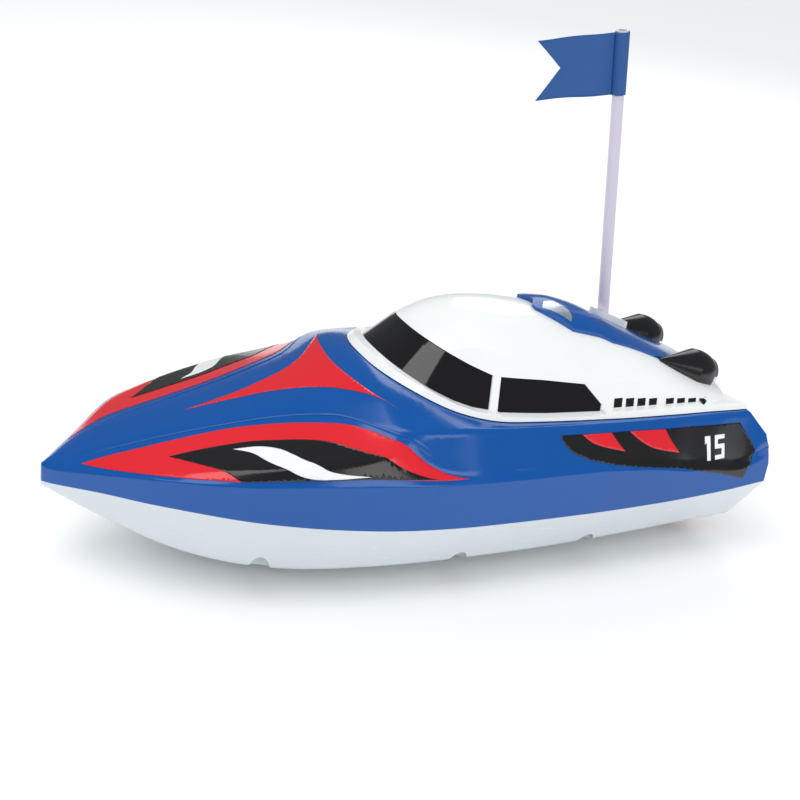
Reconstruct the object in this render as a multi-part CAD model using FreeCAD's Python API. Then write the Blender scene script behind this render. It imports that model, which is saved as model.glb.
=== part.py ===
"""Radio-controlled speed boat, 306 mm long, twin screw.

Frame: +X to the bow, +Y to port, +Z up, origin under the middle of the hull at keel height.
All sizes are millimetres.  One STEP file per piece goes to parts/.
"""
import FreeCAD, Part
import math
import os

V = FreeCAD.Vector

# ---------------------------------------------------------------- driving dimensions
# hull form
length = 306.0            # bow tip to the rearmost point of the stern
half_beam = 64.5          # at the seam between hull and deck
stern_half_beam = 57.0
chine_height = 9.5
chine_rise_bow = 23.3
chine_rise_stern = 3.0
chine_inset = 11.5        # chine inside the seam
keel_pad_half = 12.0      # flat along the keel that the boat stands on
stem_height = 32.5        # keel line at the bow tip
hull_wall = 2.2
deck_wall = 2.0
flange_width = 5.0        # inner flanges that meet at the seam
flange_thick = 2.0

# stern profile, x and z of its corners from the deck edge down
stern_top_height = 65.0
stern_top_x = -141.0
stern_shelf_height = 55.3
stern_shelf_x = -150.0
transom_foot_x = -144.5
seam_step = 0.6           # stern face at the seam, ahead of its rearmost point

# canopy
canopy_front = 21.1       # front of the wall at canopy_front_height
canopy_front_height = 79.5
canopy_half_width = 47.0  # of the wall at canopy_side_height
canopy_side_height = 67.0
canopy_rear = -141.0
canopy_rear_half = 43.0
canopy_widest_x = -35.0
front_lean = 1.175        # horizontal run of the windscreen for each millimetre of height
side_lean = 0.667
canopy_wall = 2.2
canopy_gap = 0.35         # between the canopy rim and the deck
lip_width = 3.6
lip_height = 2.4
pane_recess = 0.5         # window face below the canopy face
pane_thick = 1.0
pane_gap = 0.15

# roof fittings
panel_half = 20.0
panel_thick = 1.6
panel_rear = -139.0
hood_half = 18.0
lens_thick = 0.8
cowl_offset = 21.5        # cowl axis from the centre line
cowl_tip_x = -109.0
cowl_tip_height = 79.0
cowl_length = 26.0
cowl_radius = 9.4
cowl_slope = 17.0         # degrees, axis falls towards the stern
cap_length = 2.8
cap_radius = 8.0

# flag mast
mast_x = -98.0
mast_y = -10.0
mast_base_height = 84.0   # where the mast axis meets the roof
mast_rake = 8.5           # degrees towards the bow
mast_radius = 2.5
mast_bore = 1.7
mast_length = 133.5       # from the socket floor to the top
running_gap = 0.05        # radial, turning and sliding fits
socket_radius = 4.6
socket_top = 3.2          # above the roof along the mast axis
socket_depth = 7.0
flag_length = 37.0
flag_height = 25.0
flag_notch = 11.0
flag_thick = 0.6

# hatch under the canopy
hatch_front = -22.0
hatch_rear = -126.0
hatch_half = 34.0
hatch_corner = 8.0
coaming_height = 70.0
coaming_wall = 2.0
coaming_clear = 0.8       # under the canopy roof where it falls to the stern
bridge_x = -62.0          # cross bridge that carries the power switch
bridge_width = 24.0
seal_thick = 1.8
seal_width = 3.0
seal_inset = 4.0          # inside the canopy wall
seal_clear = 0.3          # under the canopy roof at the stern

# drive
prop_x = -137.5
prop_offset = 24.0
prop_height = 13.6
prop_radius = 12.3
shaft_angle = 7.0         # degrees, rising towards the bow
shaft_radius = 1.0
tunnel_radius = 14.5
tunnel_wall = 2.0
tunnel_front = -117.0
motor_radius = 12.2
motor_length = 30.8
motor_distance = 46.0     # motor face ahead of the propeller, along the shaft
end_bell_radius = 10.0
end_bell_length = 3.6
motor_boss_radius = 4.0
motor_boss_length = 2.0
coupling_radius = 3.6
coupling_length = 15.0
coupling_start = 25.5     # rear end of the coupling ahead of the propeller
tube_radius = 2.5
tube_start = 12.5         # rear end of the stern tube ahead of the propeller
tube_length = 12.0
strut_radius = 2.8
strut_length = 5.0
strut_start = 5.0
strut_thick = 2.0
hub_radius = 3.2
hub_length = 8.0
nut_radius = 2.5
nut_length = 3.2
blade_thick = 1.1
blade_count = 3

# battery and electronics
cell_radius = 9.3
cell_length = 66.0
tray_wall = 1.6
tray_front = 56.0
tray_height = 8.0         # underside of the tray
tray_side = 9.0
board_front = 98.0
board_length = 32.0
board_half = 13.0
board_height = 24.0
board_thick = 1.6
switch_length = 13.0      # along the boat
switch_half = 8.0
switch_height = 6.0
slider_size = 3.4
slider_travel = 4.0
slider_height = 4.2

# fasteners
screw_radius = 1.45
screw_gap = 0.05
head_radius = 2.8
head_height = 1.9
boss_radius = 4.2
pocket_radius = 4.6
pocket_wall = 1.8
pocket_floor = 3.0
screw_stations = (77.0, -5.0, -67.0)
screw_inset = 13.5        # screw axis inside the seam
screw_bite = 10.0

# stern latch
knob_radius = 5.0
knob_height = 3.0
tongue_reach = 8.2
tongue_half = 2.6
tongue_thick = 1.5
latch_gap = 0.4
tab_thick = 1.4
tab_half = 5.0

# seam gasket, shaft glands and water contacts
gasket_inset = 1.2
gasket_width = 1.6
gasket_depth = 1.2
gasket_clear = 0.12       # under the deck
gland_start = 18.0
gland_length = 6.0
gland_radius = 4.2
contact_x = -32.0
contact_y = 32.0
contact_radius = 1.2
contact_head = 2.6

bow_x = length / 2
nose = bow_x - 0.35       # the tip is blunt by this much
stern_x = -nose
keel_trim = 0.3           # cut off level under the keel


# ---------------------------------------------------------------- lines of the boat
def share(x):
    """0 at the bow tip, 1 at the stern."""
    return (bow_x - x) / length


def ease(t):
    t = min(max(t, 0.0), 1.0)
    return t * t * (3 - 2 * t)


def fair(s, rows):
    """Smooth curve without overshoot through (share, value) rows."""
    if s <= rows[0][0]:
        return rows[0][1]
    if s >= rows[-1][0]:
        return rows[-1][1]
    steps = [(b[1] - a[1]) / (b[0] - a[0]) for a, b in zip(rows, rows[1:])]
    slopes = [steps[0]]
    for before, after in zip(steps, steps[1:]):
        same_way = before * after > 0
        slopes.append(2 * before * after / (before + after) if same_way else 0.0)
    slopes.append(steps[-1])
    for i, (a, b) in enumerate(zip(rows, rows[1:])):
        if s <= b[0]:
            h = b[0] - a[0]
            t = (s - a[0]) / h
            start = a[1] * (1 + 2 * t) * (1 - t) ** 2 + slopes[i] * h * t * (1 - t) ** 2
            return start + b[1] * t * t * (3 - 2 * t) + slopes[i + 1] * h * t * t * (t - 1)
    return rows[-1][1]


# lines of the hull side, each as (share of the length, value)
bow_fullness = [(0, .8), (.055, .743), (.075, .7), (.106, .64), (.137, .605), (.2, .59), (.5, .6)]
seam_line = [(0, 33.8), (.03, 35.6), (.065, 37.4), (.1, 38.6), (.13, 39), (.16, 38.6), (.194, 37.4),
             (.265, 35.3), (.34, 33.4), (.42, 31.9), (.52, 31), (.7, 30.6), (.8, 30.9), (.9, 31.9), (1, 34)]
band_line = [(0, 5.4), (.055, 7.2), (.095, 9.3), (.147, 11.5), (.194, 13.2), (.271, 16.3), (.333, 17.8),
             (.4, 18.6), (.5, 19), (.68, 19), (.76, 17.3), (.84, 13.6), (.92, 10), (1, 8.3)]


def beam(x):
    s = share(x)
    if s < 0.5:
        return half_beam * math.sin(math.pi / 2 * max(2 * s, 0.0) ** fair(s, bow_fullness))
    return half_beam - (half_beam - stern_half_beam) * (2 * s - 1) ** 1.7


def seam(x):
    return fair(share(x), seam_line)


def crease(x):
    """Outer edge of the deck, where the plain side band ends."""
    return beam(x) - 0.8 * min(1.0, beam(x) / 20), seam(x) + fair(share(x), band_line)


# deck lines, each as (share of the length, value)
crown_line = [(0, 41), (.0425, 46.6), (.088, 52.2), (.137, 56), (.183, 59.4), (.26, 65.4), (.318, 70),
              (.36, 73.9), (.42, 79.5), (.47, 77), (.56, 67.5), (.6, 66.5), (1, 65)]
foot_reach = [(0, .8), (.0425, .82), (.088, .85), (.137, .88), (.183, .9), (.232, .92), (.281, .93),
              (.353, .93), (.41, .905), (.45, .925), (.5, .965)]
foot_lift = [(0, .5), (.0425, .4), (.088, .33), (.137, .3), (.183, .39), (.232, .405), (.353, .41),
             (.41, .37), (.45, .18), (.5, .12)]
shoulder_reach = [(0, .5), (.0425, .56), (.088, .46), (.137, .385), (.183, .39), (.232, .41), (.271, .45),
                  (.304, .49), (.337, .55), (.375, .66), (.41, .8), (.45, .865), (.5, .875)]
shoulder_line = [(0, 40.6), (.0425, 45.8), (.088, 51.3), (.137, 55), (.183, 58), (.232, 61.1), (.271, 63.3),
                 (.304, 65), (.337, 66.4), (.375, 67.8), (.41, 69), (.5, 69), (.63, 67.7), (.78, 66.2),
                 (1, 65)]


def crown(x):
    return fair(share(x), crown_line)


def foot(x):
    """Rim of the side deck, above the crease."""
    s = share(x)
    y, z = crease(x)
    top = max(crown(x), 69.0) if s > 0.42 else crown(x)
    return y * fair(s, foot_reach), z + fair(s, foot_lift) * (top - z)


def shoulder(x):
    return crease(x)[0] * fair(share(x), shoulder_reach), fair(share(x), shoulder_line)


def keel(x):
    s = share(x)
    rise = 0.25
    return stem_height * ((rise - s) / rise) ** 1.25 - keel_trim if s < rise else -keel_trim


def chine(x):
    s = share(x)
    z = chine_height + chine_rise_stern * ease((s - 0.6) / 0.4)
    if s < 0.34:
        z = chine_height + chine_rise_bow * ((0.34 - s) / 0.34) ** 2.2
    return beam(x) - chine_inset * min(1.0, beam(x) / 35), z


# ---------------------------------------------------------------- section and surface tools
def inset_corners(corners, depth, side, past_seam=3.0):
    """Corners of a half section moved inwards; side is 1 for the deck, -1 for the hull.
    The first corner goes on past the seam, so that the room inside is open there."""
    legs = list(zip(corners, corners[1:] + [(corners[-1][0] - 1.0, corners[-1][1])]))
    lines = []
    for (ay, az), (by, bz) in legs:
        span = math.hypot(by - ay, bz - az)
        ny = -side * (bz - az) / span
        nz = side * (by - ay) / span
        lines.append((ay + ny * depth, az + nz * depth, (by - ay) / span, (bz - az) / span))
    first_y, first_z, dy, dz = lines[0]
    start_z = corners[0][1] - side * past_seam
    moved = [(first_y + dy * (start_z - first_z) / dz, start_z)]
    for (py, pz, uy, uz), (qy, qz, wy, wz) in zip(lines, lines[1:]):
        cross = uy * wz - uz * wy
        run = ((qy - py) * wz - (qz - pz) * wy) / cross if abs(cross) > 0.03 else 0.0
        if run == 0.0:
            moved.append((qy, qz))
        else:
            moved.append((py + uy * run, pz + uz * run))
    return moved


def soften(corners, radii):
    """Poles of a half section: each inner corner gets a pole on both sides of it."""
    poles = [corners[0]]
    for before, here, after, radius in zip(corners, corners[1:], corners[2:], radii):
        for end in (before, after):
            span = math.dist(here, end)
            part = min(radius, 0.4 * span) / span
            point = tuple(h + (e - h) * part for h, e in zip(here, end))
            poles.append(point)
            if end is before:
                poles.append(here)
    poles.append(corners[-1])
    return poles


def section(x, poles):
    """Closed wire across the boat at x from the poles of its port half."""
    points = [V(x, y, z) for y, z in poles] + [V(x, -y, z) for y, z in reversed(poles)]
    spans = len(points) - 2
    curve = Part.BSplineCurve()
    curve.buildFromPolesMultsKnots(points, [3] + [1] * (spans - 1) + [3], list(range(spans + 1)), False, 2)
    return Part.Wire([curve.toShape(), Part.makeLine(points[-1], points[0])])


def deck_section(x, depth=0.0):
    top_y, top_z = shoulder(x)
    corners = [(beam(x), seam(x)), crease(x), foot(x), (top_y, top_z), (top_y / 2, crown(x))]
    if depth:
        corners = inset_corners(corners, depth, 1)
    return section(x, soften(corners, (1.2, 3.0, 3.5)))


def hull_section(x, depth=0.0):
    chine_y, chine_z = chine(x)
    pad = min(keel_pad_half, 0.4 * chine_y)
    corners = [(beam(x), seam(x)), (chine_y, chine_z), (pad, keel(x))]
    if depth:
        corners = inset_corners(corners, depth, -1)
    return section(x, soften(corners + [(corners[-1][0] / 2, corners[-1][1])], (5.0, 2.5)))


def stations(front):
    """Places along the boat, closer together towards the bow; all forms share them."""
    places = [nose]
    step = 2.0
    while places[-1] - step > stern_x:
        places.append(places[-1] - step)
        step = min(1.35 * step, station_step)
    behind = [x for x in places if x < front - 1.0]
    return [front] + behind + [stern_x - overrun]


def side_prism(corners, half_width=90.0):
    """Solid from an outline in the side view, as wide as the boat."""
    points = [V(x, -half_width, z) for x, z in corners]
    return Part.Face(Part.makePolygon(points + points[:1])).extrude(V(0, 2 * half_width, 0))


def plan_prism(wire, low=-5.0, high=120.0):
    flat = wire.copy()
    flat.translate(V(0, 0, low))
    return Part.Face(flat).extrude(V(0, 0, high - low))


def stern_room(depth=0.0):
    """Everything ahead of the stern face."""
    band_z = crease(stern_x)[1]
    seam_z = seam(stern_x)
    run = (stern_top_x - stern_shelf_x) / (stern_top_height - stern_shelf_height)
    above = 30.0
    corners = [(stern_top_x + run * above, stern_top_height + above), (stern_shelf_x, stern_shelf_height),
               (stern_x, band_z), (stern_x + seam_step, seam_z), (transom_foot_x, chine_height),
               (transom_foot_x + 2.0, 0.0), (200.0, 0.0), (200.0, stern_top_height + above)]
    return side_prism([(x + depth if x < 0 else x, z) for x, z in corners])


overrun = 8.0
station_step = 14.0


def form(make_section, depth=0.0):
    """Solid of the deck or hull form, cut off at the stern face."""
    front = nose if not depth else bow_x - 7.0
    solid = Part.makeLoft([make_section(x, depth) for x in stations(front)], True, False)
    return solid.common(stern_room(depth))


def raised(solid, height):
    copy = solid.copy()
    copy.translate(V(0, 0, height))
    return copy


def seam_outline(depth):
    """Plan view of the boat at the seam, moved inwards by depth."""
    points = []
    start = share(bow_x - depth)
    end = share(stern_x + seam_step + depth)
    places = [start + (end - start) * (i / 14) ** 1.6 for i in range(15)]
    for s in places:
        x = bow_x - s * length
        slope = (beam(x + 0.05) - beam(x - 0.05)) / 0.1 if x < bow_x - 0.1 else -8.0
        points.append((x, max(beam(x) - depth * math.hypot(1, slope), 0.4)))
    port = Part.BSplineCurve()
    port.interpolate([V(x, y, 0) for x, y in points])
    starboard = Part.BSplineCurve()
    starboard.interpolate([V(x, -y, 0) for x, y in reversed(points)])
    (fx, fy), (rx, ry) = points[0], points[-1]
    return Part.Wire([port.toShape(), Part.makeLine(V(rx, ry, 0), V(rx, -ry, 0)), starboard.toShape(),
                      Part.makeLine(V(fx, -fy, 0), V(fx, fy, 0))])


# ---------------------------------------------------------------- whole forms used by many pieces
deck_form = form(deck_section)
hull_form = form(hull_section)
hull_room = form(hull_section, hull_wall)

pieces = {}


def cylinder(radius, height, base, axis=V(0, 0, 1)):
    return Part.makeCylinder(radius, height, base, axis)


def block(x, y, z):
    """Box from (low, high) pairs."""
    return Part.makeBox(x[1] - x[0], y[1] - y[0], z[1] - z[0], V(x[0], y[0], z[0]))


def round_plan(front, rear, half, corner):
    """Closed plan outline of a rectangle with round corners."""
    face = Part.Face(Part.makePolygon([V(front, -half, 0), V(front, half, 0), V(rear, half, 0),
                                       V(rear, -half, 0), V(front, -half, 0)]))
    solid = face.extrude(V(0, 0, 1))
    upright = [e for e in solid.Edges if abs(e.tangentAt(e.FirstParameter).z) > 0.9]
    solid = solid.makeFillet(corner, upright)
    bottom = min(solid.Faces, key=lambda f: f.CenterOfMass.z)
    return bottom.OuterWire


def screw(length_under_head, head=head_radius, shank=screw_radius):
    """Pan head screw, head on the -Z side of the origin, shank along +Z."""
    body = cylinder(head, head_height, V(0, 0, -head_height))
    rim = [e for e in body.Edges if abs(e.BoundBox.ZMax + head_height) < 1e-6]
    body = body.makeFillet(0.5 * head_height, rim)
    return body.fuse(cylinder(shank, length_under_head, V(0, 0, 0))).removeSplitter()


def moved(shape, place):
    copy = shape.copy()
    copy.Placement = place.multiply(copy.Placement)
    return copy


def mirrored(shape):
    return shape.mirror(V(0, 0, 0), V(0, 1, 0))


def pair(name, shape):
    """Port piece and its mirror image on the starboard side."""
    pieces[name + "_port"] = shape
    pieces[name + "_starboard"] = mirrored(shape)


# ---------------------------------------------------------------- drive line frame
# X forward along the shaft, origin at the middle of the port propeller
shaft_place = FreeCAD.Placement(V(prop_x, prop_offset, prop_height),
                                FreeCAD.Rotation(V(0, 1, 0), -shaft_angle))
forward = V(1, 0, 0)


def on_shaft(shape):
    return moved(shape, shaft_place)


def shaft_part(start, size, radius):
    return cylinder(radius, size, V(start, 0, 0), forward)


def tunnel_space(radius):
    """Round tunnel over the port propeller with a ball-shaped front end."""
    centre = V(tunnel_front - tunnel_radius, prop_offset, prop_height)
    tube = cylinder(radius, 60.0, centre, V(-1, 0, 0))
    return tube.fuse(Part.makeSphere(radius, centre))


# ---------------------------------------------------------------- screws that close the boat
screw_places = [(x, side * (beam(x) - screw_inset)) for x in screw_stations for side in (1, -1)]


def pocket_top(x):
    return seam(x) - screw_bite


# ---------------------------------------------------------------- motor saddles
saddle_thick = 4.0
saddle_starts = (motor_distance + 5.0, motor_distance + 21.0)
saddle_half = motor_radius + 6.5
clamp_thick = 1.6
clamp_hole_offset = motor_radius + 3.6
small_screw_radius = 1.0


def saddles():
    """Two cross ribs under the port motor, cut out to its round can."""
    ribs = [block((start, start + saddle_thick), (-saddle_half, saddle_half), (-30.0, 0.0))
            for start in saddle_starts]
    body = ribs[0].fuse(ribs[1]).cut(shaft_part(0.0, 120.0, motor_radius))
    for start in saddle_starts:
        for side in (1, -1):
            place = V(start + saddle_thick / 2, side * clamp_hole_offset, -6.0)
            body = body.cut(cylinder(small_screw_radius + screw_gap, 10.0, place))
    return on_shaft(body)


# ---------------------------------------------------------------- lower hull
tray_rear = tray_front - cell_length - 2 * tray_wall
tray_ribs = (tray_front - 6.0, (tray_front + tray_rear) / 2, tray_rear + 6.0)
tray_half = 2 * cell_radius + tray_wall + 0.3
rib_thick = 2.0
post_radius = 2.6
board_screw_inset = 3.2
board_posts = [(board_front - board_screw_inset, side * (board_half - board_screw_inset)) for side in (1, -1)]
board_posts += [(x - board_length + 2 * board_screw_inset, y) for x, y in board_posts]


def seam_layer(low, high):
    """Band of the given heights from the seam, as wide as the boat."""
    places = [stern_x - overrun + (bow_x + overrun - stern_x + overrun) * i / 48 for i in range(49)]
    heights = [seam(min(max(x, stern_x), bow_x)) for x in places]
    edges = []
    for offset in (low, high):
        curve = Part.BSplineCurve()
        curve.interpolate([V(x, -90.0, z + offset) for x, z in zip(places, heights)])
        edges.append(curve)
    lower, upper = edges
    ends = [Part.makeLine(lower.value(lower.LastParameter), upper.value(upper.LastParameter)),
            Part.makeLine(upper.value(upper.FirstParameter), lower.value(lower.FirstParameter))]
    wire = Part.Wire(Part.__sortEdges__([lower.toShape(), upper.toShape()] + ends))
    return Part.Face(wire).extrude(V(0, 180.0, 0))


def gasket_ring(top):
    ring = plan_prism(seam_outline(gasket_inset)).cut(plan_prism(seam_outline(gasket_inset + gasket_width)))
    return ring.common(seam_layer(-gasket_depth, top))


def lower_hull():
    """Hull form less its room; what stands inside is first taken out of the room."""
    kept = [seam_layer(-flange_thick, 10.0).cut(plan_prism(seam_outline(flange_width)))]
    for x, y in screw_places:
        kept.append(cylinder(pocket_radius + pocket_wall, 60.0, V(x, y, -5)))
    for x in tray_ribs:
        kept.append(block((x - rib_thick / 2, x + rib_thick / 2), (-tray_half, tray_half), (-5.0, tray_height)))
    for x, y in board_posts:
        kept.append(cylinder(post_radius, board_height + 5.0, V(x, y, -5.0)))
    port = [tunnel_space(tunnel_radius + tunnel_wall), saddles(),
            on_shaft(shaft_part(gland_start, gland_length, gland_radius))]
    kept += port + [mirrored(shape) for shape in port]
    body = hull_form.cut(hull_room.cut(kept))
    cuts = [gasket_ring(3.0)]
    for x, y in screw_places:
        cuts.append(cylinder(pocket_radius, pocket_top(x) + 10.0, V(x, y, -10.0)))
        cuts.append(cylinder(screw_radius + screw_gap, 60.0, V(x, y, 0.0)))
    for x, y in board_posts:
        cuts.append(cylinder(small_screw_radius + screw_gap, 7.0, V(x, y, board_height - 6.0)))
    for shape in (tunnel_space(tunnel_radius), on_shaft(shaft_part(tube_start, tube_length, tube_radius))):
        cuts += [shape, mirrored(shape)]
    for side in (1, -1):
        cuts.append(cylinder(contact_radius, 30.0, V(contact_x, side * contact_y, -10.0)))
    return body.cut(cuts)


pieces["lower_hull"] = lower_hull()
pieces["hull_gasket"] = gasket_ring(-gasket_clear)
hull_screw = screw(2 * screw_bite - 1.0)
pieces["hull_screws"] = Part.makeCompound([raised(moved(hull_screw, FreeCAD.Placement(V(x, y, 0),
                                          FreeCAD.Rotation())), pocket_top(x)) for x, y in screw_places])


# ---------------------------------------------------------------- canopy forms
roof_line = [(.402, 80), (.482, 93.3), (.529, 100.6), (.588, 102.3), (.653, 100.5), (.703, 97), (.794, 89),
             (.86, 81), (.948, 70.2), (1.01, 64)]
roof_drop = [(.402, 20), (.482, 22), (.588, 22), (.696, 20), (.778, 14), (.86, 8.5), (.967, 2.5)]


def roof(x, y):
    """Height of the canopy roof; the drop is given 40 mm out from the centre."""
    s = share(x)
    return fair(s, roof_line) - fair(s, roof_drop) * (y / 40.0) ** 2


def canopy_outline(z, grow):
    """Plan view of the canopy wall at height z, moved outwards by grow."""
    front = canopy_front - front_lean * (z - canopy_front_height) + grow - canopy_widest_x
    half = canopy_half_width - side_lean * (z - canopy_side_height) + grow
    rear_half = canopy_rear_half - side_lean * (z - canopy_side_height) + grow
    fullness = 2 / 2.5
    points = [(canopy_rear - 1.0, rear_half), ((canopy_rear + canopy_widest_x) / 2, (rear_half + 2 * half) / 3)]
    for i in range(8):
        turn = math.pi / 2 * (1 - i / 8)
        points.append((canopy_widest_x + front * math.cos(turn) ** fullness, half * math.sin(turn) ** fullness))
    points.append((canopy_widest_x + front, 0.0))
    points += [(x, -y) for x, y in reversed(points[:-1])]
    curve = Part.BSplineCurve()
    curve.interpolate([V(x, y, z) for x, y in points])
    return Part.Wire([curve.toShape(), Part.makeLine(curve.value(curve.LastParameter),
                                                     curve.value(curve.FirstParameter))])


wall_low = 64.4
wall_high = 108.0


def canopy_walls(grow):
    solid = Part.makeLoft([canopy_outline(wall_low, grow), canopy_outline(wall_high, grow)], True, True)
    rear = canopy_rear - min(grow, 0.0)
    return solid.common(block((rear, 60.0), (-70.0, 70.0), (wall_low, wall_high)))


def under(height_at, front, rear, half, rows=13, columns=9):
    """Solid below a curved roof surface given by height_at(x, y)."""
    grid = []
    for i in range(rows):
        x = front + (rear - front) * i / (rows - 1)
        line = [-half + 2 * half * j / (columns - 1) for j in range(columns)]
        grid.append([V(x, y, height_at(x, y)) for y in line])
    surface = Part.BSplineSurface()
    surface.interpolate(grid)
    return surface.toShape().extrude(V(0, 0, -62.0))


def canopy_form(depth):
    top = under(lambda x, y: roof(x, y) - depth, 34.0, stern_x, 58.0)
    return canopy_walls(-1.3 * depth).common(top)


canopy_solid = canopy_form(0.0)
roof_solid = under(roof, 34.0, stern_x, 58.0)

# windows in the side view, from the pillar forwards and from the pillar aft
windscreen_outline = [(34.0, 88.0), (19.6, 82.4), (6.0, 76.2), (-1.0, 73.6), (-8.0, 71.8), (-14.4, 71.0),
                      (-18.6, 82.4), (-10.0, 85.6), (5.5, 92.4), (34.0, 104.4)]
side_window_outline = [(-17.6, 70.2), (-21.8, 82.0), (-40.0, 80.6), (-60.0, 78.2), (-67.0, 70.6),
                       (-66.0, 68.2), (-40.0, 69.0)]


def shrunk(corners, gap):
    """Outline with every side moved inwards by gap."""
    face = Part.Face(Part.makePolygon([V(x, z, 0) for x, z in corners + corners[:1]]))
    wire = face.OuterWire.makeOffset2D(-gap)
    return [(v.X, v.Y) for v in wire.OrderedVertexes]


pane_floor = canopy_form(pane_recess + pane_thick)
pane_face = canopy_form(pane_recess)
port_half = block((-200.0, 200.0), (0.0, 100.0), (0.0, 150.0))

# ---------------------------------------------------------------- roof hood with the engine panel
hood_rise = [(.655, .7), (.687, 3.0), (.706, 4.3), (.732, 4.2), (.761, 3.4), (.788, 2.4), (.817, 1.7), (1, 1.6)]
hood_side_rise = 1.1
hood_plan = [(-50.0, 5.0), (-50.0, 8.0), (-64.0, hood_half), (-78.5, hood_half), (-84.0, panel_half),
             (panel_rear, panel_half)]
lens_plan = [(-52.8, 8.4), (-55.8, 3.6), (-61.0, 3.0), (-66.0, 8.0), (-66.4, 12.0), (-64.2, 15.4)]


def hood_height(x, y):
    rise = fair(share(x), hood_rise)
    return roof(x, y) + hood_side_rise + (rise - hood_side_rise) * (1 - (y / panel_half) ** 2)


def plan_shape(corners):
    return plan_prism(Part.makePolygon([V(x, y, 0) for x, y in corners + corners[:1]]), 40.0, 120.0)


def hood_layer(depth):
    return under(lambda x, y: hood_height(x, y) - depth, 10.0, stern_x, 26.0, 24, 7)


hood_outline = hood_plan + [(x, -y) for x, y in reversed(hood_plan)] + [(-53.0, 0.0)]

# ---------------------------------------------------------------- flag mast frame, Z along the mast
mast_place = FreeCAD.Placement(V(mast_x, mast_y, mast_base_height), FreeCAD.Rotation(V(0, 1, 0), mast_rake))
socket_front = mast_x + 7.0
socket_rear = mast_x - 12.0
socket_rise = 4.6
socket_plan = round_plan(socket_front, socket_rear, 5.2, 4.6)
socket_plan.translate(V(0, mast_y, 0))


def mast_part(start, size, radius):
    return moved(cylinder(radius, size, V(0, 0, start)), mast_place)


def mast_socket():
    """Raised seat on the roof with a blind bore for the mast."""
    seat = plan_prism(socket_plan, 60.0, 120.0).common(under(lambda x, y: roof(x, y) + socket_rise, 10.0, stern_x, 58.0))
    body = seat.cut(roof_solid).fuse(mast_part(-socket_depth, socket_depth + 2.0, socket_radius))
    return body.cut(mast_part(1.5 - socket_depth, 60.0, mast_radius + running_gap)).removeSplitter()


pieces["mast_socket"] = mast_socket()

# ---------------------------------------------------------------- engine cowls
cowl_place = FreeCAD.Placement(V(cowl_tip_x, cowl_offset, cowl_tip_height),
                               FreeCAD.Rotation(V(0, 1, 0), 180.0 - cowl_slope))


def turned(profile):
    """Solid of revolution about X from a wire in the XZ plane."""
    return Part.Face(profile).revolve(V(0, 0, 0), V(1, 0, 0), 360.0)


def cowl():
    """Pointed shell that swells towards its round rear end."""
    swell = cowl_length * 0.66
    rear_radius = cap_radius + 0.4
    middle = V((swell + cowl_length) / 2 + 0.6, 0, (cowl_radius + rear_radius) / 2 + 0.55)
    profile = Part.Wire([Part.makeLine(V(0, 0, 0), V(0, 0, 0.8)),
                         Part.makeLine(V(0, 0, 0.8), V(swell, 0, cowl_radius)),
                         Part.Arc(V(swell, 0, cowl_radius), middle, V(cowl_length, 0, rear_radius)).toShape(),
                         Part.makeLine(V(cowl_length, 0, rear_radius), V(cowl_length, 0, 0)),
                         Part.makeLine(V(cowl_length, 0, 0), V(0, 0, 0))])
    return moved(turned(profile), cowl_place)


def cowl_cap():
    """Bright end ring with a dished middle."""
    start = cowl_length
    end = start + cap_length
    bend = V(end - 0.35, 0, cap_radius - 0.35)
    profile = Part.Wire([Part.makeLine(V(start, 0, 0), V(start, 0, cap_radius)),
                         Part.makeLine(V(start, 0, cap_radius), V(end - 1.2, 0, cap_radius)),
                         Part.Arc(V(end - 1.2, 0, cap_radius), bend, V(end, 0, cap_radius - 1.2)).toShape(),
                         Part.makeLine(V(end, 0, cap_radius - 1.2), V(end - 1.6, 0, cap_radius - 3.0)),
                         Part.makeLine(V(end - 1.6, 0, cap_radius - 3.0), V(end - 1.6, 0, 0)),
                         Part.makeLine(V(end - 1.6, 0, 0), V(start, 0, 0))])
    return moved(turned(profile), cowl_place)


hood_solid = plan_shape(hood_outline).common(hood_layer(0.0)).cut(roof_solid)
seat_cut = [roof_solid, hood_solid]
pair("engine_cowl", cowl().cut(seat_cut).common(block((-200.0, 0.0), (0.0, 90.0), (0.0, 150.0))))
pair("cowl_cap", cowl_cap().cut(seat_cut))

lens_cell = plan_shape(lens_plan)
lens_room = lens_cell.cut(hood_layer(lens_thick))
pieces["roof_scoop"] = hood_solid.cut([lens_room, mirrored(lens_room), plan_prism(socket_plan, 40.0, 120.0)])
lens = plan_shape(shrunk(lens_plan, pane_gap)).common(hood_layer(0.0)).cut(hood_layer(lens_thick))
pair("scoop_lens", lens)

# ---------------------------------------------------------------- windows and canopy shell
def pane(outline):
    return side_prism(shrunk(outline, pane_gap)).common(pane_face).cut(pane_floor)


pieces["windscreen"] = pane(windscreen_outline)
pair("side_window", pane(side_window_outline).common(port_half))


def latch_point(along, above, side=0.0):
    """Place on the sloping stern top: along it upwards, above it and to port."""
    return V(knob_centre.x + up_slope.x * along + off_slope.x * above, side,
             knob_centre.z + up_slope.z * along + off_slope.z * above)


stern_top = V(stern_top_x, 0, stern_top_height)
stern_shelf = V(stern_shelf_x, 0, stern_shelf_height)
up_slope = (stern_top - stern_shelf).normalize()
off_slope = V(-up_slope.z, 0, up_slope.x)
knob_centre = (stern_top + stern_shelf) * 0.5


def slope_block(along, above, half):
    """Box that lies on the sloping stern top."""
    corners = [latch_point(a, h) for a, h in ((along[0], above[0]), (along[1], above[0]),
                                              (along[1], above[1]), (along[0], above[1]))]
    return side_prism([(c.x, c.z) for c in corners], half)


tab_start = knob_radius + 0.6
tab_low = 0.35


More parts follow.
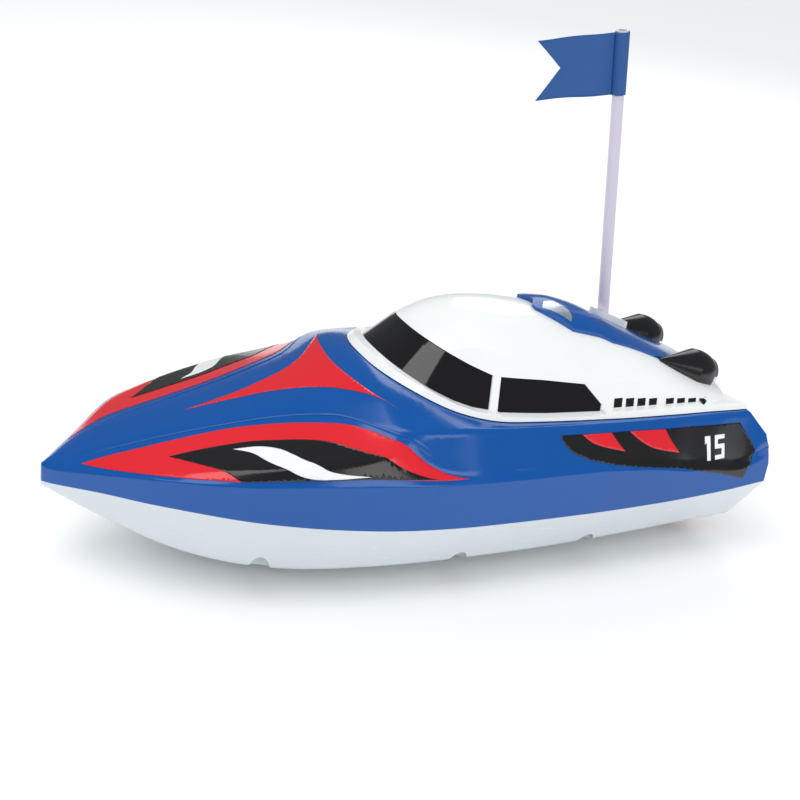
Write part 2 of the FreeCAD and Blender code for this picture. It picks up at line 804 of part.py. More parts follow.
def canopy_shell():
    deck_top = raised(deck_form, canopy_gap)
    lip = canopy_walls(lip_width).common(raised(deck_form, canopy_gap + lip_height))
    tab = slope_block((tab_start, 9.6), (tab_low, tab_low + tab_thick), tab_half)
    body = canopy_solid.fuse([lip, tab]).cut(canopy_form(canopy_wall)).cut(deck_top)
    pockets = [side_prism(windscreen_outline).cut(pane_floor)]
    side_room = side_prism(side_window_outline).cut(pane_floor)
    pockets.append(side_room)
    body = body.cut(pockets)
    return body.cut(mast_part(-20.0, 40.0, socket_radius))


pieces["canopy_shell"] = canopy_shell()

# ---------------------------------------------------------------- flag mast and flag
mast_foot = 1.5 - socket_depth
mast_tube = cylinder(mast_radius, mast_length, V(0, 0, mast_foot))
mast_tube = mast_tube.cut(cylinder(mast_bore, mast_length, V(0, 0, mast_foot)))
pieces["flag_mast"] = moved(mast_tube, mast_place)


def flag():
    """Swallow-tailed flag with a sleeve round the top of the mast."""
    top = mast_foot + mast_length - 0.6
    low = top - flag_height
    sleeve_radius = mast_radius + running_gap
    sleeve = cylinder(sleeve_radius + flag_thick, flag_height, V(0, 0, low))
    corners = [(0, low), (flag_length, low), (flag_length - flag_notch, (low + top) / 2), (flag_length, top), (0, top)]
    points = [V(x, -flag_thick / 2, z) for x, z in corners]
    cloth = Part.Face(Part.makePolygon(points + points[:1])).extrude(V(0, flag_thick, 0))
    body = sleeve.fuse(cloth).cut(cylinder(sleeve_radius, flag_height, V(0, 0, low)))
    return moved(body.removeSplitter(), mast_place)


pieces["flag"] = flag()

# ---------------------------------------------------------------- deck shell
deck_room = form(deck_section, deck_wall)
hatch_low = 60.0
bridge_top = coaming_height - 3.0
bridge_thick = 2.0
slot_gap = 0.3
slider_rest = -slider_travel / 2
switch_screw_offset = switch_half + 2.5
latch_boss = 3.6
knob_gap = 0.3


def hatch_prism(grow, low, high):
    wire = round_plan(hatch_front + grow, hatch_rear - grow, hatch_half + grow, hatch_corner + grow)
    return plan_prism(wire, low, high)


def deck_shell():
    kept = [seam_layer(-10.0, flange_thick).cut(plan_prism(seam_outline(flange_width)))]
    for x, y in screw_places:
        kept.append(cylinder(boss_radius, 100.0, V(x, y, 0.0)))
    pillar = cylinder(latch_boss, 9.0, latch_point(0.0, 0.0), V(-off_slope.x, 0, -off_slope.z))
    body = deck_form.cut(deck_room.cut(kept + [pillar]))
    under_roof = under(lambda x, y: roof(x, y) - canopy_wall - coaming_clear, 34.0, stern_x, 58.0)
    rim = hatch_prism(coaming_wall, hatch_low, coaming_height).common(under_roof)
    body = body.fuse(rim).cut(hatch_prism(0.0, hatch_low - 30.0, coaming_height + 30.0))
    bridge = block((bridge_x - bridge_width / 2, bridge_x + bridge_width / 2),
                   (-hatch_half - 0.5, hatch_half + 0.5), (bridge_top - bridge_thick, bridge_top))
    slot_half = slider_size / 2 + slot_gap
    slot = block((bridge_x - slot_half, bridge_x + slot_half),
                 (slider_rest - slot_half, slider_rest + slider_travel + slot_half), (0.0, 90.0))
    holes = [cylinder(screw_radius + screw_gap, screw_bite + seam(x), V(x, y, 0.0)) for x, y in screw_places]
    holes += [cylinder(small_screw_radius + screw_gap, 20.0, V(bridge_x, y, bridge_top - 10.0))
              for y in (-switch_screw_offset, switch_screw_offset)]
    holes.append(cylinder(screw_radius + screw_gap, 8.2, latch_point(0.0, 0.1), V(-off_slope.x, 0, -off_slope.z)))
    return body.fuse(bridge).cut([slot] + holes).removeSplitter()


pieces["deck_shell"] = deck_shell()


def hatch_seal():
    """Foam strip on the deck just inside the canopy wall."""
    rear = canopy_rear + seal_inset
    outer = canopy_walls(-seal_inset).common(block((rear, 60.0), (-60.0, 60.0), (wall_low, 90.0)))
    inner = canopy_walls(-seal_inset - seal_width)
    inner = inner.common(block((rear + seal_width, 60.0), (-60.0, 60.0), (wall_low, 90.0)))
    strip = outer.cut(inner).common(raised(deck_form, seal_thick)).cut(deck_form)
    return strip.common(canopy_form(canopy_wall + seal_clear))


pieces["hatch_seal"] = hatch_seal()

# ---------------------------------------------------------------- stern latch
latch_place = FreeCAD.Placement(knob_centre, FreeCAD.Rotation(V(0, 0, 1), off_slope))
tongue_low = tab_low + tab_thick + latch_gap
head_gap = 0.1


def hatch_latch():
    """Turn button; its tongue points sideways when the canopy is free."""
    disc = cylinder(knob_radius, knob_height - knob_gap, V(0, 0, knob_gap))
    rim = [e for e in disc.Edges if e.BoundBox.ZMin > knob_height - 0.01]
    disc = disc.makeFillet(0.6, rim)
    tongue = block((-tongue_half, tongue_half), (0.0, tongue_reach), (tongue_low, tongue_low + tongue_thick))
    tip = cylinder(tongue_reach, 10.0, V(0, 0, 0))
    body = disc.fuse(tongue.common(tip))
    body = body.cut(cylinder(head_radius + head_gap, 10.0, V(0, 0, knob_height - head_height)))
    return body.cut(cylinder(screw_radius + running_gap, 10.0, V(0, 0, -1.0))).removeSplitter()


pieces["hatch_latch"] = moved(hatch_latch(), latch_place)
latch_screw = screw(knob_height + 6.0)
flip = FreeCAD.Placement(V(0, 0, knob_height - head_height + running_gap), FreeCAD.Rotation(V(1, 0, 0), 180.0))
pieces["latch_screw"] = moved(moved(latch_screw, flip), latch_place)

# ---------------------------------------------------------------- power switch
switch_top = bridge_top - bridge_thick
foot_size = slider_size + 1.8
foot_height = 1.2


def power_switch():
    body = block((bridge_x - switch_length / 2, bridge_x + switch_length / 2),
                 (-switch_half, switch_half), (switch_top - switch_height, switch_top))
    ears = block((bridge_x - 3.0, bridge_x + 3.0), (-switch_screw_offset - 3.0, switch_screw_offset + 3.0),
                 (switch_top - 1.2, switch_top))
    cavity = block((bridge_x - foot_size / 2 - 0.1, bridge_x + foot_size / 2 + 0.1),
                   (slider_rest - foot_size / 2 - 0.1, slider_rest + slider_travel + foot_size / 2 + 0.1),
                   (switch_top - foot_height - 0.3, switch_top))
    body = body.fuse(ears).cut(cavity)
    for y in (-switch_screw_offset, switch_screw_offset):
        body = body.cut(cylinder(small_screw_radius + screw_gap, 20.0, V(bridge_x, y, switch_top - 10.0)))
    for y in (-5.0, 0.0, 5.0):
        leg = block((bridge_x - 0.4, bridge_x + 0.4), (y - 1.0, y + 1.0), (switch_top - switch_height - 3.0,
                                                                         switch_top - switch_height))
        body = body.fuse(leg)
    return body.removeSplitter()


pieces["power_switch"] = power_switch()
slider_base = switch_top - foot_height - 0.2
slider = block((bridge_x - foot_size / 2, bridge_x + foot_size / 2),
               (slider_rest - foot_size / 2, slider_rest + foot_size / 2), (slider_base, slider_base + foot_height))
stem = block((bridge_x - slider_size / 2, bridge_x + slider_size / 2),
             (slider_rest - slider_size / 2, slider_rest + slider_size / 2),
             (slider_base, bridge_top + slider_height))
pieces["switch_slider"] = slider.fuse(stem).removeSplitter()
small_head = 1.9
small_head_height = 1.2
top_screw = cylinder(small_head, small_head_height, V(0, 0, 0)).fuse(cylinder(small_screw_radius, 6.0, V(0, 0, -6.0)))
pieces["switch_screws"] = Part.makeCompound([moved(top_screw, FreeCAD.Placement(V(bridge_x, y, bridge_top),
                                            FreeCAD.Rotation()))
                                             for y in (-switch_screw_offset, switch_screw_offset)])

# ---------------------------------------------------------------- drive line, port side built and mirrored
def motor():
    body = shaft_part(motor_distance, motor_length, motor_radius)
    body = body.fuse(shaft_part(motor_distance - motor_boss_length, motor_boss_length, motor_boss_radius))
    bell_start = motor_distance + motor_length
    body = body.fuse(shaft_part(bell_start, end_bell_length, end_bell_radius))
    for side in (1, -1):
        tab = block((bell_start, bell_start + end_bell_length + 4.0), (side * 6.0 - 1.4, side * 6.0 + 1.4), (-0.3, 0.3))
        body = body.fuse(tab)
    bore = shaft_part(motor_distance - motor_boss_length, motor_boss_length + 8.0, shaft_radius + running_gap)
    return body.cut(bore).removeSplitter()


def motor_clamp():
    """Strap over the can with a foot on each side of every saddle."""
    start = saddle_starts[0]
    width = saddle_starts[1] + saddle_thick - start
    outer = motor_radius + clamp_thick
    band = shaft_part(start, width, outer).cut(shaft_part(start, width, motor_radius))
    feet = block((start, start + width), (-saddle_half, saddle_half), (0.0, clamp_thick))
    window = block((start + saddle_thick + 1.0, start + width - saddle_thick - 1.0), (-40.0, 40.0), (-1.0, 5.0))
    upper = block((start, start + width), (-40.0, 40.0), (0.0, 40.0))
    body = band.common(upper).fuse(feet.cut(shaft_part(start, width, motor_radius)))
    outside = window.cut(shaft_part(start, width, outer))
    body = body.cut(outside)
    for x in saddle_starts:
        for side in (1, -1):
            body = body.cut(cylinder(small_screw_radius + screw_gap, 10.0,
                                     V(x + saddle_thick / 2, side * clamp_hole_offset, -5.0)))
    return body.removeSplitter()


def blade():
    """Twisted blade along +Z, cut round at the tip."""
    wires = []
    for radius, chord, pitch in ((hub_radius - 0.8, 6.4, 52.0), (0.6 * prop_radius, 9.0, 34.0), (prop_radius + 1.0, 7.0, 24.0)):
        turn = FreeCAD.Placement(V(0, 0, radius), FreeCAD.Rotation(V(0, 0, 1), 90.0 - pitch))
        t = blade_thick / 2
        tips = [V(chord / 2, 0.2, 0), V(0, t, 0), V(-chord / 2, 0.2, 0), V(-chord / 2, -0.2, 0), V(0, -t, 0),
                V(chord / 2, -0.2, 0)]
        wires.append(moved(Part.makePolygon(tips + tips[:1]), turn))
    return Part.makeLoft(wires, True, True)


def propeller():
    body = shaft_part(-hub_length / 2, hub_length, hub_radius)
    one = blade()
    for i in range(blade_count):
        body = body.fuse(moved(one, FreeCAD.Placement(V(0, 0, 0), FreeCAD.Rotation(V(1, 0, 0), 360.0 * i / blade_count))))
    body = body.common(shaft_part(-hub_length, 2 * hub_length, prop_radius))
    return body.cut(shaft_part(-hub_length, 2 * hub_length, shaft_radius)).removeSplitter()


def strut():
    """Bearing barrel on a lens-shaped leg that stands on the tunnel roof."""
    barrel = shaft_part(strut_start, strut_length, strut_radius)
    leg_middle = V(strut_start + strut_length / 2, 0, 0)
    ring = Part.Ellipse(leg_middle, strut_length / 2 + 1.0, strut_thick / 2)
    leg = Part.Face(Part.Wire(ring.toShape())).extrude(V(0, 0, 25.0))
    body = on_shaft(barrel.fuse(leg)).common(tunnel_space(tunnel_radius))
    return body.cut(on_shaft(shaft_part(0.0, 30.0, shaft_radius + running_gap))).removeSplitter()


shaft_end = -hub_length / 2 - nut_length + 0.8
prop_shaft_length = coupling_start + coupling_length / 2 - 0.5 - shaft_end
motor_shaft_start = coupling_start + coupling_length / 2 + 0.5
motor_shaft_length = motor_distance + 5.0 - motor_shaft_start
tube = shaft_part(tube_start, tube_length, tube_radius).cut(shaft_part(0.0, 60.0, shaft_radius + running_gap))
nut = Part.makeCone(nut_radius, 0.6 * nut_radius, nut_length, V(-hub_length / 2, 0, 0), V(-1, 0, 0))
nut = nut.cut(shaft_part(shaft_end, 20.0, shaft_radius))
coupling = shaft_part(coupling_start, coupling_length, coupling_radius).cut(shaft_part(0.0, 60.0, shaft_radius))
coupling = coupling.cut(shaft_part(coupling_start + 5.0, coupling_length - 10.0, 9.0).cut(
    shaft_part(0.0, 60.0, coupling_radius - 0.8)))
pair("motor", on_shaft(motor()))
pair("motor_clamp", on_shaft(motor_clamp()))
pair("motor_shaft", on_shaft(shaft_part(motor_shaft_start, motor_shaft_length, shaft_radius)))
pair("coupling", on_shaft(coupling.removeSplitter()))
pair("prop_shaft", on_shaft(shaft_part(shaft_end, prop_shaft_length, shaft_radius)))
pair("stern_tube", on_shaft(tube))
pair("shaft_strut", strut())
pair("propeller", on_shaft(propeller()))
pair("prop_nut", on_shaft(nut))
clamp_screws = []
for start in saddle_starts:
    for side in (1, -1):
        place = FreeCAD.Placement(V(start + saddle_thick / 2, side * clamp_hole_offset, clamp_thick), FreeCAD.Rotation())
        port_screw = on_shaft(moved(top_screw, place))
        clamp_screws += [port_screw, mirrored(port_screw)]
pieces["clamp_screws"] = Part.makeCompound(clamp_screws)

# ---------------------------------------------------------------- battery
tray_floor = 1.6
tray = block((tray_rear, tray_front), (-tray_half, tray_half), (tray_height, tray_height + tray_floor + tray_side))
cell_axis = tray_height + tray_floor + cell_radius
tray = tray.cut(block((tray_rear + tray_wall, tray_front - tray_wall), (-tray_half + tray_wall, tray_half - tray_wall),
                      (tray_height + tray_floor, 90.0)))
strap_width = 12.0
strap_middle = (tray_front + tray_rear) / 2
strap_foot = 6.0
strap_slack = 0.2
tray = tray.cut(block((strap_middle - strap_width / 2 - strap_slack, strap_middle + strap_width / 2 + strap_slack),
                      (-tray_half - 1.0, tray_half + 1.0), (tray_height + tray_side, 90.0)))
ear = block((strap_middle - strap_width / 2, strap_middle + strap_width / 2),
            (-tray_half - strap_foot, tray_half + strap_foot), (tray_height + tray_side - 4.0, tray_height + tray_side))
ears = ear.cut(block((tray_rear, tray_front), (-tray_half + tray_wall, tray_half - tray_wall), (0.0, 90.0)))
battery_tray = tray.fuse(ears)
strap_holes = [V(strap_middle, side * (tray_half + strap_foot / 2), 0) for side in (1, -1)]
for place in strap_holes:
    battery_tray = battery_tray.cut(cylinder(small_screw_radius + screw_gap, 60.0, place))
pieces["battery_tray"] = battery_tray.removeSplitter()


def battery():
    """Two round cells side by side in a shrunk sleeve."""
    front = tray_front - tray_wall
    cells = [cylinder(cell_radius, cell_length, V(front, side * cell_radius, cell_axis), V(-1, 0, 0)) for side in (1, -1)]
    fill = block((front - cell_length, front), (-cell_radius, cell_radius), (cell_axis - cell_radius, cell_axis + cell_radius))
    return cells[0].fuse([cells[1], fill]).removeSplitter()


pieces["battery_pack"] = battery()
strap_thick = 1.5


def battery_strap():
    """Bridge over the cells, screwed to the ears of the tray."""
    front = strap_middle + strap_width / 2
    top = cell_axis + cell_radius
    foot_low = tray_height + tray_side
    outer = round_section(2 * cell_radius + strap_thick, foot_low, top + strap_thick, cell_radius, front)
    inner = round_section(2 * cell_radius, foot_low - 1.0, top, cell_radius, front + 1.0, 2.0)
    feet = block((front - strap_width, front), (-tray_half - strap_foot, tray_half + strap_foot),
                 (foot_low, foot_low + strap_thick))
    middle = block((front - strap_width, front), (-2 * cell_radius, 2 * cell_radius), (0.0, foot_low + strap_thick + 0.5))
    body = outer.cut(inner).fuse(feet.cut(middle).cut(inner))
    for place in strap_holes:
        body = body.cut(cylinder(small_screw_radius + screw_gap, 60.0, place))
    return body.removeSplitter()


def round_section(half, low, high, corner, front, extra=0.0):
    """Arch across the boat with round upper corners."""
    solid = block((front - strap_width - extra, front), (-half, half), (low, high))
    edges = [e for e in solid.Edges if abs(e.tangentAt(e.FirstParameter).x) > 0.9 and e.BoundBox.ZMin > high - 0.01]
    return solid.makeFillet(corner, edges)


pieces["battery_strap"] = battery_strap()
pieces["strap_screws"] = Part.makeCompound([raised(top_screw, tray_height + tray_side + strap_thick).translated(place)
                                            for place in strap_holes])

# ---------------------------------------------------------------- receiver and water contacts
def receiver_board():
    x = board_front
    base = board_height + board_thick
    body = block((x - board_length, x), (-board_half, board_half), (board_height, base))
    chips = [block((x - 20.0, x - 12.0), (-4.0, 4.0), (base, base + 1.6)),
             block((x - 11.0, x - 7.0), (-6.5, 5.0), (base, base + 3.2)),
             block((x - 27.0, x - 23.0), (-7.0, 7.0), (base, base + 5.5)),
             cylinder(2.6, 6.5, V(x - 16.0, 7.6, base))]
    body = body.fuse(chips)
    for px, py in board_posts:
        body = body.cut(cylinder(small_screw_radius + screw_gap, 40.0, V(px, py, 0.0)))
    return body.removeSplitter()


pieces["receiver_board"] = receiver_board()
pieces["board_screws"] = Part.makeCompound([raised(top_screw, board_height + board_thick).translated(V(x, y, 0))
                                            for x, y in board_posts])


def contact(side):
    """Domed metal stud through the bottom."""
    low = hull_bottom(contact_x, contact_y)
    head = cylinder(contact_head, 1.6, V(contact_x, side * contact_y, low - 0.7))
    stud = cylinder(contact_radius, 12.0, V(contact_x, side * contact_y, low - 0.5))
    return head.cut(hull_form).fuse(stud).removeSplitter()


def hull_bottom(x, y):
    """Height of the outer bottom over (x, y)."""
    line = Part.makeLine(V(x, y, -20.0), V(x, y, seam(x)))
    return line.common(hull_form).BoundBox.ZMin


pieces["water_contacts"] = Part.makeCompound([contact(1), contact(-1)])

os.makedirs("parts", exist_ok=True)
for name, shape in sorted(pieces.items()):
    shape.exportStep("parts/" + name + ".step")
print(len(pieces), "pieces")
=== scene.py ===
"""Radio-controlled speed boat as it stands on a pale studio floor.

Frame: +X to the bow, +Y to port, +Z up, metres, origin under the middle of the hull.
"""
import math

import bpy
import bmesh
from mathutils import Matrix, Vector
from mathutils.bvhtree import BVHTree
from mathutils.geometry import delaunay_2d_cdt


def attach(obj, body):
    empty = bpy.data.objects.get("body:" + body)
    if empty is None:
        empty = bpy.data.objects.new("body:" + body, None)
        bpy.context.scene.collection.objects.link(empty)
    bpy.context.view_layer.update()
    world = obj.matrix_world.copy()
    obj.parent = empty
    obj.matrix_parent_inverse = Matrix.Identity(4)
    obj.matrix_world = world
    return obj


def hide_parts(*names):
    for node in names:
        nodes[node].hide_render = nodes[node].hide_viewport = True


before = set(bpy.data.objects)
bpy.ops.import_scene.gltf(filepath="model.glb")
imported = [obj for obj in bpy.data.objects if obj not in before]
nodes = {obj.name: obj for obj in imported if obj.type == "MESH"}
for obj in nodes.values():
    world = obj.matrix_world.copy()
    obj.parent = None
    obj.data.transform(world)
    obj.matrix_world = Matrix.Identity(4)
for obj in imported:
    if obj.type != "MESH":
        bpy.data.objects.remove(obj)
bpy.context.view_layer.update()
bpy.ops.object.select_all(action="DESELECT")

# ------------------------------------------------------------ lower hull
# The bottom is one white ABS moulding with a soft chine.  It is glossy from the mould,
# with faint flow marks and the fine scuffs that a toy gets from sand and pool edges.
mm = 0.001
hull_white = (0.66, 0.71, 0.735)
scuff_roughness = 0.10    # added to the roughness where a hairline scuff runs
flow_roughness = 0.10     # added in the dull parts of the flow marks
peel_depth = 0.00006      # metres


def node_group(name, outputs, inputs=()):
    """Empty shader group with these sockets, each as (name, kind)."""
    group = bpy.data.node_groups.new(name, "ShaderNodeTree")
    for socket, kind in inputs:
        group.interface.new_socket(socket, in_out="INPUT", socket_type=kind)
    for socket, kind in outputs:
        group.interface.new_socket(socket, in_out="OUTPUT", socket_type=kind)
    return group


def add(tree, kind, **values):
    """New node; a value goes to the input of that name, or else to the property."""
    node = tree.nodes.new("ShaderNode" + kind)
    for key, value in values.items():
        if key in node.inputs:
            node.inputs[key].default_value = value
        else:
            setattr(node, key, value)
    return node


def moulded_group():
    """Surface of an injection-moulded part: orange peel, flow marks and hairline scuffs."""
    tree = node_group("moulded", [("Tone", "NodeSocketFloat"), ("Rough", "NodeSocketFloat"),
                                  ("Normal", "NodeSocketVector")],
                      [("Gloss", "NodeSocketFloat"), ("Grain", "NodeSocketFloat")])
    link = tree.links.new
    start = tree.nodes.new("NodeGroupInput")
    end = tree.nodes.new("NodeGroupOutput")
    place = add(tree, "TexCoord")
    flow = add(tree, "TexNoise", Scale=22.0, Detail=3.0)
    peel = add(tree, "TexNoise", Scale=700.0, Detail=2.0)
    stretch = add(tree, "Mapping", Scale=(60.0, 900.0, 500.0), Rotation=(0.2, 0.1, 0.5))
    scuff = add(tree, "TexNoise", Scale=1.0, Detail=4.0, Roughness=0.7)
    hair = add(tree, "MapRange")
    hair.inputs["From Min"].default_value = 0.62
    hair.inputs["From Max"].default_value = 0.74
    for texture in (flow, peel, stretch):
        link(place.outputs["Object"], texture.inputs["Vector"])
    link(stretch.outputs["Vector"], scuff.inputs["Vector"])
    link(scuff.outputs["Fac"], hair.inputs["Value"])
    tone = add(tree, "MapRange")
    tone.inputs["To Min"].default_value = 0.93
    tone.inputs["To Max"].default_value = 1.05
    link(flow.outputs["Fac"], tone.inputs["Value"])
    link(tone.outputs["Result"], end.inputs["Tone"])
    wear = add(tree, "Math", operation="MULTIPLY")
    wear.inputs[1].default_value = scuff_roughness
    link(hair.outputs["Result"], wear.inputs[0])
    spread = add(tree, "Math", operation="MULTIPLY_ADD")
    spread.inputs[1].default_value = flow_roughness
    link(flow.outputs["Fac"], spread.inputs[0])
    link(wear.outputs[0], spread.inputs[2])
    rough = add(tree, "Math", operation="ADD")
    link(start.outputs["Gloss"], rough.inputs[0])
    link(spread.outputs[0], rough.inputs[1])
    link(rough.outputs[0], end.inputs["Rough"])
    bump = add(tree, "Bump", Distance=peel_depth)
    link(start.outputs["Grain"], bump.inputs["Strength"])
    link(peel.outputs["Fac"], bump.inputs["Height"])
    link(bump.outputs["Normal"], end.inputs["Normal"])
    return tree


moulded = moulded_group()
mix_a, mix_b, mix_colour = 6, 7, 2      # colour sockets of a Mix node
coat_roughness = 0.05


def material(name):
    """New material, with its node tree and its shader."""
    made = bpy.data.materials.new(name)
    made.use_nodes = True
    tree = made.node_tree
    return made, tree, tree.nodes["Principled BSDF"]


def plastic(name, colour, gloss=0.16, grain=0.25, coat=0.0, metallic=0.0):
    """Moulded surface; gloss is its least roughness and grain the depth of its skin."""
    made, tree, shader = material(name)
    skin = tree.nodes.new("ShaderNodeGroup")
    skin.node_tree = moulded
    skin.inputs["Gloss"].default_value = gloss
    skin.inputs["Grain"].default_value = grain
    tint = add(tree, "Mix", data_type="RGBA", blend_type="MULTIPLY")
    tint.inputs["Factor"].default_value = 1.0
    tint.inputs[mix_a].default_value = (*colour, 1.0)
    grey = add(tree, "CombineColor")
    for channel in ("Red", "Green", "Blue"):
        tree.links.new(skin.outputs["Tone"], grey.inputs[channel])
    tree.links.new(grey.outputs[0], tint.inputs[mix_b])
    tree.links.new(tint.outputs[mix_colour], shader.inputs["Base Color"])
    tree.links.new(skin.outputs["Rough"], shader.inputs["Roughness"])
    tree.links.new(skin.outputs["Normal"], shader.inputs["Normal"])
    shader.inputs["Metallic"].default_value = metallic
    shader.inputs["Coat Weight"].default_value = coat
    shader.inputs["Coat Roughness"].default_value = coat_roughness
    return made


def dress(finish, *names):
    """The CAD nodes of these names take this finish."""
    for name in names:
        mesh = nodes[name].data
        mesh.materials.clear()
        mesh.materials.append(finish)


dress(plastic("hull_plastic", hull_white, gloss=0.2, grain=0.3), "lower_hull")

# ------------------------------------------------------------ seam gasket and seal
# Black rubber, cut and glued.  The gasket lies in the joint between hull and deck, and
# the seal runs round the hatch, under the canopy.
dress(plastic("rubber", (0.012, 0.012, 0.013), gloss=0.75, grain=1.0), "hull_gasket",
      "hatch_seal")

# ------------------------------------------------------------ deck
# Blue ABS moulding with a raised middle, side decks and a plain side band.  The hood on
# the roof and the stern latch are moulded in the same plastic.
deck_blue = (0.0, 0.078, 0.335)
deck_plastic = plastic("deck_plastic", deck_blue, gloss=0.13, grain=0.22, coat=0.12)
dress(deck_plastic, "deck_shell", "roof_scoop", "hatch_latch")

# ------------------------------------------------------------ foredeck stickers
# Printed gloss film in racing colours, cut to shape and rubbed down on the side decks
# and ahead of the canopy.  Each outline is drawn in the plan view, in millimetres.
sticker_red = (0.72, 0.012, 0.022)
sticker_black = (0.009, 0.009, 0.010)
sticker_white = (0.86, 0.87, 0.88)
film_thick = 0.1
first_film = 0.16         # top of a sticker on the bare deck
second_film = 0.30        # top of one that is stuck on another
third_film = 0.44
mesh_step = 0.85          # between the points inside a sticker
row_step = 0.87           # between their rows, as a share of mesh_step
drop_height = 0.2         # metres above the deck, from where a sticker is dropped
drop_reach = 0.1          # metres beside the middle, from where a side sticker is pressed


def film(name, colour):
    """Printed gloss film."""
    return plastic(name, colour, gloss=0.15, grain=0.12, coat=0.35)


def fair_curve(points, steps=6):
    """Smooth run through points, without its last point."""
    ends = [points[0]] + list(points) + [points[-1]]
    run = []
    for a, b, c, d in zip(ends, ends[1:], ends[2:], ends[3:]):
        for i in range(steps):
            t = i / steps
            run.append(tuple(0.5 * (2 * q + (r - p) * t + (2 * p - 5 * q + 4 * r - s) * t * t
                                    + (3 * q - p - 3 * r + s) * t ** 3)
                             for p, q, r, s in zip(a, b, c, d)))
    return run


def outline(*runs):
    """Closed outline of smooth runs that meet at sharp corners."""
    points = []
    for run in runs:
        points += fair_curve(run) if len(run) > 2 else [run[0]]
    return points


def inside(point, loop):
    """Whether a point lies inside a flat outline."""
    x, y = point
    odd = False
    for (ax, ay), (bx, by) in zip(loop, loop[1:] + loop[:1]):
        if (ay > y) != (by > y) and x < ax + (y - ay) * (bx - ax) / (by - ay):
            odd = not odd
    return odd


def filled(loop):
    """Even triangles that fill a flat outline."""
    xs = [p[0] for p in loop]
    ys = [p[1] for p in loop]
    points = [Vector(p) for p in loop]
    count = len(points)
    x = min(xs) + mesh_step / 2
    row = 0
    while x < max(xs):
        y = min(ys) + mesh_step * (0.25 + 0.5 * (row % 2))
        while y < max(ys):
            near = min((px - x) ** 2 + (py - y) ** 2 for px, py in loop)
            if near > 0.3 * mesh_step ** 2 and inside((x, y), loop):
                points.append(Vector((x, y)))
            y += mesh_step
        x += mesh_step * row_step
        row += 1
    edges = [(i, (i + 1) % count) for i in range(count)]
    made = delaunay_2d_cdt(points, edges, [], 1, 1e-6)
    return made[0], made[2]


def shell_of(*names):
    """Search tree over the surface of these CAD nodes."""
    corners = []
    faces = []
    for name in names:
        mesh = nodes[name].data
        start = len(corners)
        corners += [v.co.copy() for v in mesh.vertices]
        faces += [[start + i for i in p.vertices] for p in mesh.polygons]
    return BVHTree.FromPolygons(corners, faces)


def new_piece(name, corners, faces):
    """Piece of the scene from its corners and faces, all shaded smooth."""
    mesh = bpy.data.meshes.new(name)
    mesh.from_pydata(corners, [], faces)
    for face in mesh.polygons:
        face.use_smooth = True
    piece = bpy.data.objects.new(name, mesh)
    bpy.context.scene.collection.objects.link(piece)
    return piece


def thicken(piece, thick, offset):
    """Give a sheet its thickness in metres; offset -1 puts all of it under the sheet."""
    bpy.ops.object.select_all(action="DESELECT")
    piece.select_set(True)
    bpy.context.view_layer.objects.active = piece
    wall = piece.modifiers.new("wall", "SOLIDIFY")
    wall.thickness = thick
    wall.offset = offset
    bpy.ops.object.modifier_apply(modifier="wall")


def rubbed_down(name, loop, shell, height, finish, body, side=0):
    """Sticker on a shell, dropped from above, or from port (1) or starboard (-1)."""
    flat, faces = filled(loop)
    corners = []
    for p in flat:
        if side:
            start = Vector((p.x * mm, side * drop_reach, p.y * mm))
            way = Vector((0, -side, 0))
        else:
            start = Vector((p.x * mm, p.y * mm, drop_height))
            way = Vector((0, 0, -1))
        spot, normal, _, _ = shell.ray_cast(start, way)
        if normal.dot(way) > 0:
            normal = -normal
        corners.append(spot + normal * height * mm)
    piece = new_piece(name, corners, [list(f) for f in faces])
    shape = bmesh.new()
    shape.from_mesh(piece.data)
    outward = Vector((0, side, 0)) if side else Vector((0, 0, 1))
    for face in shape.faces:
        if face.normal.dot(outward) < 0:
            face.normal_flip()
    shape.to_mesh(piece.data)
    shape.free()
    thicken(piece, film_thick * mm, -1.0)
    piece.data.materials.append(finish)
    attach(piece, body)


deck_skin = shell_of("deck_shell")
film_red = film("film_red", sticker_red)
film_black = film("film_black", sticker_black)
film_white = film("film_white", sticker_white)

deck_edge = [(1, 62.4), (15, 62.0), (30, 61.2), (45, 59.6), (60, 57.3), (75, 54.0), (90, 49.6)]
red_wing = outline([(140, 10.8), (124.7, 16.0), (110.4, 17.8), (96, 19.4), (81.7, 22),
                    (68, 26.4), (54.5, 31.9), (44.8, 37.2), (37.8, 43.9), (31.1, 51.2),
                    (23.3, 55.9), (14.4, 58.9), (6, 61.4), (1, 62.4)],
                   deck_edge,
                   [(90, 49.6), (100, 45.4), (110, 40.2), (120, 32.8), (130, 22.6), (140, 10.8)])
black_wing = outline([(110.9, 27.2), (102.3, 28.0), (91.7, 29.6), (81.1, 31.7), (71, 35.3),
                      (61, 39.3), (53, 43.6), (46.2, 49.6), (39.2, 55.2), (31, 58.6),
                      (22, 60.6), (14, 61.8)],
                     [(14, 61.8)] + deck_edge[2:],
                     [(90, 49.6), (110.9, 27.2)])
white_wave = outline([(88.4, 33.6), (79, 36), (72.5, 40.2), (68.5, 45.5), (65, 50.6),
                      (59.5, 55.2), (51.5, 57.8), (42.1, 59.6)],
                     [(42.1, 59.6), (55, 58.0), (66, 55.6), (73.5, 51.5), (78.5, 45.4),
                      (82.4, 38.6), (88.4, 33.6)])


def across(loop):
    """The same outline on the starboard side."""
    return [(x, -y) for x, y in loop]


for side_name, turn in (("port", list), ("starboard", across)):
    for film_name, loop, height, finish in (("red", red_wing, first_film, film_red),
                                            ("black", black_wing, second_film, film_black),
                                            ("wave", white_wave, third_film, film_white)):
        rubbed_down(f"wing_{film_name}_{side_name}", turn(loop), deck_skin, height, finish, "boat")

